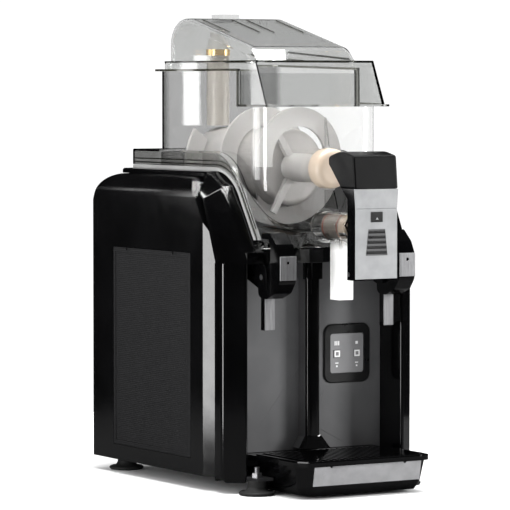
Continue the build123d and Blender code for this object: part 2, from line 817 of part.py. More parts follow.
def build_lever_stem():
    """Black lever stem, open behind and below, that turns on the tap's ears."""
    with BuildPart() as stem:
        with BuildSketch(yz(-lever_half)):
            with BuildLine():
                Polyline((lever_rear, lever_bottom), (lever_rear, 412), (lever_rear + 11.5, cap_seam - 0.2),
                         (lever_body_front, cap_seam - 0.2), (lever_body_front, lever_bottom), close=True)
            make_face()
        extrude(amount=2 * lever_half)
        upright = stem.edges().filter_by(Axis.Z).filter_by(lambda e: e.center().Y > -240)
        fillet(upright, 4)
        box_between((-lever_half + 3, lever_body_front + 3, lever_bottom - 1),
                    (lever_half - 3, lever_rear + 1, 404), Mode.SUBTRACT)
        x_cylinder(lever_pivot_y, lever_pivot_z, pivot_radius + running, -40, 40, Mode.SUBTRACT)
    finish(stem, "lever_stem")


def build_lever_cap():
    """Big black thumb piece on top of the lever, leaning back over the tap."""
    with BuildPart() as cap:
        with BuildSketch(yz(-lever_half - 2)):
            with BuildLine():
                FilletPolyline((lever_rear + 11.5, cap_seam), (-191, 455), (-190, 466), (-222, 475),
                               (-254, 468), (lever_front, cap_seam),
                               radius=[0.5, 4, 7, 60, 5, 0.5], close=True)
            make_face()
        extrude(amount=2 * lever_half + 4)
        sides = cap.faces().filter_by(Axis.X)
        rounded = sides.edges().filter_by(lambda e: e.center().Z > 440)
        fillet(rounded, 3)
    finish(cap, "lever_cap")


def build_lever_plate():
    """Silver face of the lever, slightly wider above its seam."""
    with BuildPart() as plate:
        with BuildSketch(facing_front(lever_body_front - 0.02)):
            with BuildLine():
                Polyline((-33.5, plate_bottom), (33.5, plate_bottom), (33.5, 396), (35.5, cap_seam - 0.4),
                         (-35.5, cap_seam - 0.4), (-33.5, 396), close=True)
            make_face()
        extrude(amount=2.48)
        box_between((-40, lever_front - 1, 395.6), (40, lever_front + 0.6, 396.4), Mode.SUBTRACT)
    finish(plate, "lever_plate")


rib_count = 5
rib_low = 336.0
rib_pitch = 7.0


def build_lever_trim():
    """Five dark grip ribs, wider towards the bottom, and a plain square badge above them."""
    with BuildPart() as trim:
        for i in range(rib_count):
            width = 32.0 - 1.5 * i
            z = rib_low + rib_pitch * i
            box_between((-width / 2, lever_front - 1.4, z - 1.1), (width / 2, lever_front - 0.02, z + 1.1))
        box_between((-9.5, lever_front - 1.0, 377.5), (9.5, lever_front - 0.02, 391.5))
    finish(trim, "lever_trim")


# =====================================================================
# Bowl clamps
# =====================================================================
clamp_outline = [(-140, 361.5), (-160, 361.5), (-178, 346), (-186.5, 330), (-186.5, 294), (-175, 279),
                 (-152, 270), (-131, 272), (-128, 300), (-135, 314), (-152, 314), (-162, 322),
                 (-162, 340), (-157, 352.8), (-140, 352.8)]
clamp_rounding = [1, 5, 9, 10, 10, 10, 8, 8, 8, 5, 4, 5, 5, 2, 1]
clamp_front = -186.5
clamp_pin_radius = 4.0
tail_half = 8.0


def build_clamp(side, name):
    """Over-centre hook that holds the bowl down, with a finger tail below."""
    x_low = side * clamp_x - clamp_width / 2
    with BuildPart() as clamp:
        with BuildSketch(yz(x_low)):
            with BuildLine():
                FilletPolyline(*clamp_outline, radius=clamp_rounding, close=True)
            make_face()
        extrude(amount=clamp_width)
        box_between((side * clamp_x - tail_half, -139, 226), (side * clamp_x + tail_half, -129.5, 276))
        x_cylinder(clamp_pivot_y, clamp_pivot_z, clamp_pin_radius + running, x_low - 1,
                   x_low + clamp_width + 1, Mode.SUBTRACT)
    finish(clamp, name)


def build_clamp_trim(side, name):
    """Brushed plates on the clamp's nose and tail."""
    x_low = side * clamp_x - clamp_width / 2
    with BuildPart() as trim:
        box_between((x_low, clamp_front - 2, 297), (x_low + clamp_width, clamp_front - 0.02, 330))
        y_cylinder(side * clamp_x, 321, 2.2, clamp_front - 3, clamp_front + 1, Mode.SUBTRACT)
        box_between((side * clamp_x - tail_half, -140.5, 226), (side * clamp_x + tail_half, -139.02, 270))
    finish(trim, name)


ear_outline = [(-96, 316.9), (-150, 316.9), (-157.5, 309), (-157.5, 296), (-150, 287), (-135, 285), (-96, 300)]


def build_clamp_brackets():
    """Black forks under the front lip that carry the clamps."""
    with BuildPart() as brackets:
        for side in (-1, 1):
            for offset in (-clamp_width / 2 - 3.5, clamp_width / 2 + 0.5):
                with BuildSketch(yz(side * clamp_x + offset)):
                    with BuildLine():
                        FilletPolyline(*ear_outline, radius=[0.5, 5, 7, 7, 7, 7, 0.5], close=True)
                    make_face()
                extrude(amount=3)
            box_between((side * clamp_x - clamp_width / 2 - 3.5, -120, 312.5),
                        (side * clamp_x + clamp_width / 2 + 3.5, -96, 316.9))
        x_cylinder(clamp_pivot_y, clamp_pivot_z, clamp_pin_radius + running, -150, 150, Mode.SUBTRACT)
    finish(brackets, "clamp_brackets")


def build_pivot_pins():
    """Steel pivot pins of the two clamps and of the lever."""
    with BuildPart() as pins:
        for side in (-1, 1):
            x_cylinder(clamp_pivot_y, clamp_pivot_z, clamp_pin_radius,
                       side * clamp_x - clamp_width / 2 - 3.4, side * clamp_x + clamp_width / 2 + 3.4)
        x_cylinder(lever_pivot_y, lever_pivot_z, pivot_radius, -lever_half + 0.2, lever_half - 0.2)
    finish(pins, "pivot_pins")


# =====================================================================
# Drip tray
# =====================================================================
tray_low = 4.0
tray_rim_low = 45.0
tray_rim_top = 51.0
deck_front = -111.0         # flat land behind the grille, under the column's foot
slot_x = 60.0
slot_y = -98.0
slot_long = 36.0
slot_wide = 8.0


def tray_plan(half, rear, front, corner_x, corner_y):
    """Plan of the tray: straight sides, clipped front corners."""
    FilletPolyline((-half, rear), (half, rear), (half, front + corner_y), (half - corner_x, front),
                   (-half + corner_x, front), (-half, front + corner_y),
                   radius=[4, 4, 9, 9, 9, 9], close=True)


def build_drip_tray():
    """Black tub that widens upward to an overhanging rim, with a ledge for the grille."""
    with BuildPart() as tray:
        with BuildSketch(Plane.XY.offset(tray_low)):
            with BuildLine():
                tray_plan(92, -88, -228, 10, 12)
            make_face()
        with BuildSketch(Plane.XY.offset(13)):
            with BuildLine():
                tray_plan(100, -86, -232.5, 13, 16)
            make_face()
        with BuildSketch(Plane.XY.offset(tray_rim_low + 0.5)):
            with BuildLine():
                tray_plan(106, -84, -238.3, 14, 18)
            make_face()
        loft(ruled=True)
        with BuildSketch(Plane.XY.offset(tray_rim_low)):
            with BuildLine():
                tray_plan(110, -80.5, -242.5, 14, 19)
            make_face()
        extrude(amount=tray_rim_top - tray_rim_low)
        with BuildSketch(Plane.XY.offset(tray_low + 3)):
            with BuildLine():
                tray_plan(92, -90, -226.7, 10, 12)
            make_face()
        with BuildSketch(Plane.XY.offset(15)):
            with BuildLine():
                tray_plan(96.5, -89, -229, 13, 16)
            make_face()
        with BuildSketch(Plane.XY.offset(tray_rim_low + 0.1)):
            with BuildLine():
                tray_plan(101, -89, -233, 13, 17)
            make_face()
        loft(ruled=True, mode=Mode.SUBTRACT)
        with BuildSketch(Plane.XY.offset(tray_rim_low)):
            with BuildLine():
                tray_plan(105, -84.5, -237.5, 13, 18)
            make_face()
        extrude(amount=10, mode=Mode.SUBTRACT)
        box_between((-106, deck_front, tray_rim_low + 1), (106, -83.5, tray_rim_top - 0.5))
        with BuildSketch(Plane.XY.offset(tray_rim_low)):
            with Locations((-slot_x, slot_y), (slot_x, slot_y)):
                SlotOverall(slot_long, slot_wide)
        extrude(amount=10, mode=Mode.SUBTRACT)
    finish(tray, "drip_tray")


grille_top = 53.5


grille_rear = -111.6
grille_bars = (-146, -178, -208)


def build_drip_grille():
    """Lift-out grille: a frame, slats that run front to back and three cross bars."""
    with BuildPart() as grille:
        with BuildSketch(Plane.XY.offset(tray_rim_low + 0.1)):
            with BuildLine():
                tray_plan(104.5, grille_rear, -237, 13, 18)
            make_face()
            with BuildLine():
                tray_plan(99.5, grille_rear - 5, -232, 12, 17)
            make_face(mode=Mode.SUBTRACT)
        extrude(amount=grille_top - tray_rim_low - 1.1)
        for y in grille_bars:
            box_between((-100.5, y - 1.6, tray_rim_low + 0.1), (100.5, y + 1.6, grille_top - 3))
        for i in range(-10, 11):
            x = 9.2 * i
            front = -233.0 if abs(x) < 88 else -226.0
            box_between((x - 1.7, front, tray_rim_low + 1.5), (x + 1.7, grille_rear - 4, grille_top))
    finish(grille, "drip_grille")


def build_tray_plate():
    """Silver plate on the tray's front, with two small notches in its upper edge."""
    def face_y(z):
        return -232.5 - 5.8 * (z - 13) / (tray_rim_low + 0.5 - 13)
    with BuildPart() as plate:
        with BuildSketch(yz(-87)):
            with BuildLine():
                Polyline((face_y(18) - 0.05, 18), (face_y(44.8) - 0.05, 44.8), (face_y(44.8) - 1.7, 44.8),
                         (face_y(18) - 1.7, 18), close=True)
            make_face()
        extrude(amount=174)
        for x in (-60, 60):
            y_cylinder(x, 45, 2.4, -245, -225, Mode.SUBTRACT)
    finish(plate, "tray_plate")


# =====================================================================
# Controls
# =====================================================================
key_places = {"key_left": 51.9, "key_right": 85.3}
key_z = 183.0
key_size = 11.0


def build_control_bezel():
    """Soft black frame round the touch plate, set into the recess panel."""
    with BuildPart() as bezel:
        with BuildSketch(facing_front(recess_face - 0.05)):
            with Locations(bezel_centre):
                RectangleRounded(bezel_size[0], bezel_size[1], 13)
        extrude(amount=2.8)
        chamfer(bezel.faces().sort_by(Axis.Y)[0].edges(), 1.8)
        with BuildSketch(facing_front(recess_face + 6)):
            with Locations(bezel_centre):
                RectangleRounded(bezel_size[0] - 8.6, bezel_size[1] - 8.6, 7.7)
        extrude(amount=6.5)
        with BuildSketch(facing_front(recess_face + 1.5)):
            with Locations(bezel_centre):
                RectangleRounded(plate_size + 1, plate_size + 1, 4.5)
        extrude(amount=10, mode=Mode.SUBTRACT)
        for x in key_places.values():
            box_between((x - 6.5, recess_face - 1, key_z - 6.5), (x + 6.5, recess_face + 8, key_z + 6.5),
                        Mode.SUBTRACT)
    finish(bezel, "control_bezel")


def build_keypad_plate():
    """Grey touch plate with square openings for the two keys."""
    with BuildPart() as plate:
        with BuildSketch(facing_front(recess_face + 1.45)):
            with Locations(bezel_centre):
                RectangleRounded(plate_size, plate_size, 4)
        extrude(amount=2.5)
        for x in key_places.values():
            box_between((x - 5.8, recess_face - 9, key_z - 5.8), (x + 5.8, recess_face + 8, key_z + 5.8),
                        Mode.SUBTRACT)
    finish(plate, "keypad_plate")


def build_key(name, x):
    """Square push key."""
    half = key_size / 2
    with BuildPart() as key:
        box_between((x - half, recess_face - 2.1, key_z - half), (x + half, recess_face + 3, key_z + half))
        chamfer(key.faces().sort_by(Axis.Y)[0].edges(), 0.6)
    finish(key, name)


def build_control_board():
    """Circuit board behind the touch plate with a switch under each key."""
    with BuildPart() as board:
        box_between((bezel_centre[0] - 33, recess_face + 7.4, bezel_centre[1] - 36),
                    (bezel_centre[0] + 33, recess_face + 9, bezel_centre[1] + 36))
        for x in key_places.values():
            box_between((x - 3, recess_face + 4.2, key_z - 3), (x + 3, recess_face + 7.5, key_z + 3))
    finish(board, "control_board")


# =====================================================================
# Rear panel, gland, screws
# =====================================================================
gland_x = 100.0
gland_z = 70.0
gland_bore = 4.0
object_rear = 260.0
rear_outer = body_rear - skin - 0.2


def build_rear_panel():
    """Sheet steel back with louvre slots and the hole for the cord gland."""
    with BuildPart() as panel:
        box_between((-150, rear_outer - 1.6, 45), (150, rear_outer, 377))
        with BuildSketch(facing_front(rear_outer + 2)):
            with Locations((-20, 150)):
                with GridLocations(1, 12, 1, 14):
                    SlotOverall(120, 5)
            with Locations((gland_x, gland_z)):
                Circle(7.2)
            for x in (-screw_x, screw_x):
                for z in screw_heights:
                    with Locations((x, z)):
                        Circle(screw_radius + 0.1)
        extrude(amount=8, mode=Mode.SUBTRACT)
    finish(panel, "rear_panel")


def build_cord_gland():
    """Gland where the mains cord goes in."""
    with BuildPart() as gland:
        y_cylinder(gland_x, gland_z, 7, rear_outer - 8, rear_outer + 0.2)
        y_cylinder(gland_x, gland_z, 12, rear_outer + 0.1, object_rear)
        y_cylinder(gland_x, gland_z, gland_bore, rear_outer - 9, object_rear + 1, Mode.SUBTRACT)
    finish(gland, "cord_gland")


def build_panel_screws():
    """Screws that hold the back to the side panels."""
    with BuildPart() as screws:
        for x in (-screw_x, screw_x):
            for z in screw_heights:
                y_cylinder(x, z, screw_radius, body_rear - 12, body_rear + 0.5)
                y_cylinder(x, z, 4, body_rear + 0.05, body_rear + 1.4)
    finish(screws, "panel_screws")


# =====================================================================
# Refrigeration
# =====================================================================
fan_y = 105.0
fan_z = 136.0
fan_radius = 74.0


def build_compressor():
    """Hermetic compressor can on its foot plate."""
    with BuildPart() as compressor:
        z_cylinder(64, 165, 58, 34, 190)
        fillet(compressor.edges().filter_by(GeomType.CIRCLE).sort_by(Axis.Z)[-1], 34)
        fillet(compressor.edges().filter_by(GeomType.CIRCLE).sort_by(Axis.Z)[0], 12)
        box_between((-14, 118, 31), (142, 212, 35))
        z_cylinder(30, 200, 6, 120, 200)
    finish(compressor, "compressor")


def build_compressor_mounts():
    """Rubber mounts under the compressor's foot plate."""
    with BuildPart() as mounts:
        for x in (0, 128):
            for y in (130, 200):
                z_cylinder(x, y, 9, body_bottom + sheet + 0.02, 30.95)
    finish(mounts, "compressor_mounts")


def build_condenser():
    """Finned condenser behind the left vent."""
    with BuildPart() as condenser:
        for i in range(21):
            z = 50 + 8 * i
            box_between((-148, 25, z), (-120, 190, z + 1.2))
        for x in (-140, -128):
            for y in (45, 76, 107, 138, 169):
                z_cylinder(x, y, 4, 44, 218)
        box_between((-148, 40, 42.5), (-120, 174, 45))
        box_between((-148, 40, 217), (-120, 174, 219.5))
    finish(condenser, "condenser")


def build_fan_shroud():
    """Plate with a round opening that ducts the fan to the condenser, and the motor's struts."""
    with BuildPart() as shroud:
        box_between((-118, 22, body_bottom + sheet + 0.1), (-115.5, 190, 218))
        x_cylinder(fan_y, fan_z, fan_radius + 3, -125, -110, Mode.SUBTRACT)
        box_between((-117, 184, 100), (-66, 190, 172))
        box_between((-72, 100, 130), (-66, 190, 142))
    finish(shroud, "fan_shroud")


def build_fan_motor():
    """Fan motor on the shroud's arm."""
    with BuildPart() as motor:
        x_cylinder(fan_y, fan_z, 24, -92, -72.1)
        x_cylinder(fan_y, fan_z, 3, -112, -91)
    finish(motor, "fan_motor")


def build_fan_blade():
    """Five-bladed axial fan."""
    with BuildPart() as fan:
        x_cylinder(fan_y, fan_z, 20, -112.5, -95)
        for i in range(5):
            with Locations(Location((-103.5, fan_y, fan_z), (72 * i, 0, 0))):
                with Locations(Location((0, 0, 44), (0, 0, 35))):
                    Box(2.2, 34, 56)
        x_cylinder(fan_y, fan_z, 3 + running, -120, -90, Mode.SUBTRACT)
    finish(fan, "fan_blade")


def build_refrigerant_pipe():
    """Copper pipe from the compressor to the condenser."""
    with BuildPart() as pipe:
        with BuildLine() as route:
            FilletPolyline((30, 200, 200.05), (30, 200, 262), (-134, 200, 262), (-134, 140, 262), (-134, 140, 219.6),
                           radius=[14, 14, 14])
        with BuildSketch(Plane(origin=(30, 200, 200.05), z_dir=(0, 0, 1))):
            Circle(4)
        sweep(path=route.line)
    finish(pipe, "refrigerant_pipe")


if __name__ == "__main__":
    build_base_pan()
    for (x, y), name in foot_names.items():
        build_foot(x, y, name)
    build_foot_studs()
    build_side_panel(-1, "left_side_panel")
    build_side_panel(1, "right_side_panel")
    build_vent_cover(-1, "left_vent_cover")
    build_vent_cover(1, "right_vent_cover")
    build_front_frame()
    build_recess_panel()
    build_drain_column()
    build_top_cover()
    build_bowl()
    build_bowl_gasket()
    build_bowl_cradle()
    build_lid()
    build_drum()
    build_neck_seal()
    build_auger()
    build_drive_shaft()
    build_nose_cap()
    build_gear_motor()
    build_motor_bracket()
    build_light_tube()
    build_light_collar()
    build_light_cap()
    build_tap_body()
    build_tap_piston()
    build_piston_rings()
    build_piston_nose()
    build_lever_stem()
    build_lever_cap()
    build_lever_plate()
    build_lever_trim()
    build_clamp(-1, "left_clamp")
    build_clamp(1, "right_clamp")
    build_clamp_trim(-1, "left_clamp_trim")
    build_clamp_trim(1, "right_clamp_trim")
    build_clamp_brackets()
    build_pivot_pins()
    build_drip_tray()
    build_drip_grille()
    build_tray_plate()
    build_control_bezel()
    build_keypad_plate()
    for key_name, key_x in key_places.items():
        build_key(key_name, key_x)
    build_control_board()
    build_rear_panel()
    build_cord_gland()
    build_panel_screws()
    build_compressor()
    build_compressor_mounts()
    build_condenser()
    build_fan_shroud()
    build_fan_motor()
    build_fan_blade()
    build_refrigerant_pipe()
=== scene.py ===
import math

import bmesh
import bpy
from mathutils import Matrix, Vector


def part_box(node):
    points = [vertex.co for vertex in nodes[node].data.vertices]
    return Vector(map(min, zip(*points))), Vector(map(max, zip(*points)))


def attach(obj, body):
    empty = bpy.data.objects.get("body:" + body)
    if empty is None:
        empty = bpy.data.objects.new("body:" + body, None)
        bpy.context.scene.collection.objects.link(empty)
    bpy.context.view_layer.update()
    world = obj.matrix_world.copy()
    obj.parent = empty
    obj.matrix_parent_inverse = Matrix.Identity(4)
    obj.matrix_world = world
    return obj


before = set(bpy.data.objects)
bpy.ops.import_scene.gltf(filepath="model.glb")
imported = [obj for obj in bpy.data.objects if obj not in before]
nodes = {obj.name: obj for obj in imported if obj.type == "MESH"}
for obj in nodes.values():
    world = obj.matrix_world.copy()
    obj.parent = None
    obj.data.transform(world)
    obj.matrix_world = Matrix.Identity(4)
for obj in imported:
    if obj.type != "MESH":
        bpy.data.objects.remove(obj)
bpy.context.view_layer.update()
scene = bpy.context.scene
MM = 0.001


# ---------------------------------------------------------------- materials
LYING_SCRATCH = (18.0, 22.0, 420.0)       # pattern repeats per metre along x, y and z
STANDING_SCRATCH = (380.0, 300.0, 16.0)
CLEAR_IOR = 1.46
BRIGHTER = 1.03                 # the lighter of a clear plastic's two tints
MILKY_BELOW = 0.335             # height, in metres, where the tap's plastic is milky
CLEAR_ABOVE = 0.350
MILKY_TRANSMISSION = 0.12
COLUMN_FACE = (-0.0945, -0.0925)          # y range over which the column's gloss front turns satin
SCREEN_SCALE = 115.0            # wave texture scale of the dust screen: threads 2.7 mm apart
FLOOR_DIMMING = 0.93
GLOSS_BLACK = (0.0008, 0.0008, 0.0009), (0.0014, 0.0014, 0.0016)
SATIN_GREY = (0.074, 0.074, 0.077), (0.092, 0.092, 0.095)


class Shader:
    """A node material with small helpers; every pattern is placed by object coordinates, in metres."""

    def __init__(self, name):
        self.mat = bpy.data.materials.new(name)
        self.mat.use_nodes = True
        self.tree = self.mat.node_tree
        self.tree.nodes.clear()
        self.out = self.tree.nodes.new("ShaderNodeOutputMaterial")
        self.bsdf = self.tree.nodes.new("ShaderNodeBsdfPrincipled")
        self.link(self.bsdf.outputs[0], self.out.inputs["Surface"])
        self.coord = self.tree.nodes.new("ShaderNodeTexCoord").outputs["Object"]

    def link(self, a, b):
        self.tree.links.new(a, b)

    def set(self, **values):
        for key, value in values.items():
            self.bsdf.inputs[key.replace("_", " ")].default_value = value

    def scaled(self, x, y, z):
        node = self.tree.nodes.new("ShaderNodeMapping")
        node.inputs["Scale"].default_value = (x, y, z)
        self.link(self.coord, node.inputs["Vector"])
        return node.outputs[0]

    def noise(self, scale, detail=3.0, rough=0.55, vector=None):
        node = self.tree.nodes.new("ShaderNodeTexNoise")
        node.inputs["Scale"].default_value = scale
        node.inputs["Detail"].default_value = detail
        node.inputs["Roughness"].default_value = rough
        self.link(vector if vector is not None else self.coord, node.inputs["Vector"])
        return node.outputs["Fac"]

    def ramp(self, value, lo, hi, a, b):
        node = self.tree.nodes.new("ShaderNodeMapRange")
        node.inputs["From Min"].default_value = lo
        node.inputs["From Max"].default_value = hi
        node.inputs["To Min"].default_value = a
        node.inputs["To Max"].default_value = b
        self.link(value, node.inputs["Value"])
        return node.outputs[0]

    def mix(self, factor, a, b):
        node = self.tree.nodes.new("ShaderNodeMix")
        node.data_type = "RGBA"
        self.link(factor, node.inputs["Factor"])
        for value, socket in ((a, node.inputs["A"]), (b, node.inputs["B"])):
            if isinstance(value, tuple):
                socket.default_value = (*value, 1.0)
            else:
                self.link(value, socket)
        return node.outputs["Result"]

    def calc(self, operation, *sources):
        node = self.tree.nodes.new("ShaderNodeMath")
        node.operation = operation
        for source, socket in zip(sources, node.inputs):
            self.link(source, socket)
        return node.outputs[0]

    def scuffs(self, amount):
        """Sparse wipe scratches, lying and standing, as an addition to the roughness."""
        lying = self.noise(1.0, 4.0, 0.6, self.scaled(*LYING_SCRATCH))
        first = self.ramp(lying, 0.66, 0.74, 0.0, amount)
        standing = self.noise(1.0, 4.0, 0.6, self.scaled(*STANDING_SCRATCH))
        second = self.ramp(standing, 0.67, 0.75, 0.0, amount)
        return self.calc("ADD", first, second)

    def color(self, source):
        self.link(source, self.bsdf.inputs["Base Color"])

    def rough(self, source):
        self.link(source, self.bsdf.inputs["Roughness"])

    def bump(self, height, strength, distance=0.0004):
        node = self.tree.nodes.new("ShaderNodeBump")
        node.inputs["Strength"].default_value = strength
        node.inputs["Distance"].default_value = distance
        self.link(height, node.inputs["Height"])
        self.link(node.outputs[0], self.bsdf.inputs["Normal"])


def moulded(name, dark, light, rough, spec=0.5, grain=900.0, grain_strength=0.05, blotch=14.0):
    """Moulded plastic: faint colour drift, uneven gloss, fine grain."""
    s = Shader(name)
    s.set(Specular_IOR_Level=spec)
    s.color(s.mix(s.ramp(s.noise(blotch), 0.35, 0.65, 0.0, 1.0), dark, light))
    gloss = s.ramp(s.noise(55.0, 5.0), 0.3, 0.7, rough * 0.85, rough * 1.25)
    s.rough(s.calc("ADD", gloss, s.scuffs(0.10)))
    s.bump(s.noise(grain, 2.0), grain_strength, 0.0002)
    return s.mat


def brushed(name, dark, light, rough, scale, metallic=1.0):
    """Brushed metal: streaks along one axis, given by the stretch in scale."""
    s = Shader(name)
    s.set(Metallic=metallic)
    streak = s.noise(1.0, 6.0, 0.7, s.scaled(*scale))
    s.color(s.mix(s.ramp(streak, 0.3, 0.7, 0.0, 1.0), dark, light))
    s.rough(s.ramp(streak, 0.3, 0.7, rough * 0.8, rough * 1.3))
    s.bump(streak, 0.12, 0.0001)
    return s.mat


def axis_value(s, axis):
    """One object coordinate as a value."""
    split = s.tree.nodes.new("ShaderNodeSeparateXYZ")
    s.link(s.coord, split.inputs[0])
    return split.outputs[axis]


def clear_plastic(name, tint_and_painted_grey, rough, painted_backdrop_grey_at=(), edge_tint=None, edges=()):
    """Clear plastic: a base colour that can carry painted shade, a painted grey by place that stands
    in for the dim backdrop seen through, darker flange edges, faint haze and wipe marks.
    """
    s = Shader(name)
    s.set(Transmission_Weight=1.0, IOR=CLEAR_IOR)
    # the base colour can itself be painted shade, as on the lid, where its grey stands in for the
    # backdrop seen through
    lighter = tuple(min(1.0, c * BRIGHTER) for c in tint_and_painted_grey)
    color = s.mix(s.ramp(s.noise(9.0), 0.3, 0.7, 0.0, 1.0), tint_and_painted_grey, lighter)
    # painted shade: grey mixed in by place, standing in for the dim backdrop seen through the plastic
    for axis, low, high, painted_grey in painted_backdrop_grey_at:
        color = s.mix(s.ramp(axis_value(s, axis), low, high, 0.0, 1.0), color, painted_grey)
    edge = None
    for axis, low, high in edges:
        value = axis_value(s, axis)
        if axis == "X":
            value = s.calc("ABSOLUTE", value)
        near = s.ramp(value, low, high, 0.0, 1.0)
        edge = near if edge is None else s.calc("MAXIMUM", edge, near)
    if edge is not None:
        color = s.mix(edge, color, edge_tint)
    s.color(color)
    wipe = s.noise(1.0, 4.0, 0.6, s.scaled(30.0, 30.0, 8.0))
    s.rough(s.ramp(wipe, 0.35, 0.7, rough * 0.3, rough * 1.8))
    s.bump(s.noise(28.0, 2.0), 0.02, 0.0008)
    return s.mat


def frosted_spout(mat):
    """Below the cylinder the tap's plastic is milky, so it catches the light."""
    tree = mat.node_tree
    bsdf = next(node for node in tree.nodes if node.type == "BSDF_PRINCIPLED")
    split = tree.nodes.new("ShaderNodeSeparateXYZ")
    tree.links.new(tree.nodes["Texture Coordinate"].outputs["Object"], split.inputs[0])
    fade = tree.nodes.new("ShaderNodeMapRange")
    fade.inputs["From Min"].default_value = MILKY_BELOW
    fade.inputs["From Max"].default_value = CLEAR_ABOVE
    fade.inputs["To Min"].default_value = MILKY_TRANSMISSION
    fade.inputs["To Max"].default_value = 1.0
    tree.links.new(split.outputs["Z"], fade.inputs["Value"])
    tree.links.new(fade.outputs[0], bsdf.inputs["Transmission Weight"])
    return mat


def column_plastic(name):
    """Gloss black front, satin grey sides like the panel behind."""
    s = Shader(name)
    front = s.ramp(axis_value(s, "Y"), *COLUMN_FACE, 0.0, 1.0)
    drift = s.ramp(s.noise(14.0), 0.35, 0.65, 0.0, 1.0)
    satin = s.mix(drift, *SATIN_GREY)
    gloss = s.mix(drift, *GLOSS_BLACK)
    s.color(s.mix(front, gloss, satin))
    s.rough(s.calc("ADD", s.ramp(front, 0.0, 1.0, 0.09, 0.46), s.scuffs(0.08)))
    s.bump(s.noise(900.0, 2.0), 0.03, 0.0002)
    return s.mat


def dim_in_reflections(mat, share):
    """The floor shows weaker in mirror reflections than to the eye, like a flagged studio table."""
    tree = mat.node_tree
    path = tree.nodes.new("ShaderNodeLightPath")
    level = tree.nodes.new("ShaderNodeMath")
    level.operation = "MULTIPLY"
    level.inputs[1].default_value = share
    tree.links.new(path.outputs["Is Glossy Ray"], level.inputs[0])
    black = tree.nodes.new("ShaderNodeBsdfDiffuse")
    black.inputs["Color"].default_value = (0.02, 0.02, 0.02, 1.0)
    blend = tree.nodes.new("ShaderNodeMixShader")
    surface = next(node for node in tree.nodes if node.type == "BSDF_PRINCIPLED")
    out = next(node for node in tree.nodes if node.type == "OUTPUT_MATERIAL")
    tree.links.new(level.outputs[0], blend.inputs[0])
    tree.links.new(surface.outputs[0], blend.inputs[1])
    tree.links.new(black.outputs[0], blend.inputs[2])
    tree.links.new(blend.outputs[0], out.inputs["Surface"])
    return mat


def mesh_screen(name):
    """Fine woven dust screen with square holes; the holes are painted darker, as painted shade in the
    openings.
    """
    s = Shader(name)
    s.set(Specular_IOR_Level=0.12)
    waves = []
    for axis in ("Y", "Z"):
        wave = s.tree.nodes.new("ShaderNodeTexWave")
        wave.bands_direction = axis
        wave.inputs["Scale"].default_value = SCREEN_SCALE
        wave.inputs["Distortion"].default_value = 0.0
        s.link(s.coord, wave.inputs["Vector"])
        waves.append(wave.outputs["Fac"])
    weave_and_hole_shade = s.ramp(s.calc("MAXIMUM", *waves), 0.55, 0.95, 0.0, 1.0)
    # painted shade: the holes between the threads are coloured darker than the threads
    s.color(s.mix(weave_and_hole_shade, (0.004, 0.004, 0.004), (0.016, 0.016, 0.017)))
    s.rough(s.ramp(s.noise(80.0), 0.3, 0.7, 0.5, 0.7))
    s.bump(weave_and_hole_shade, 0.5, 0.0003)
    return s.mat


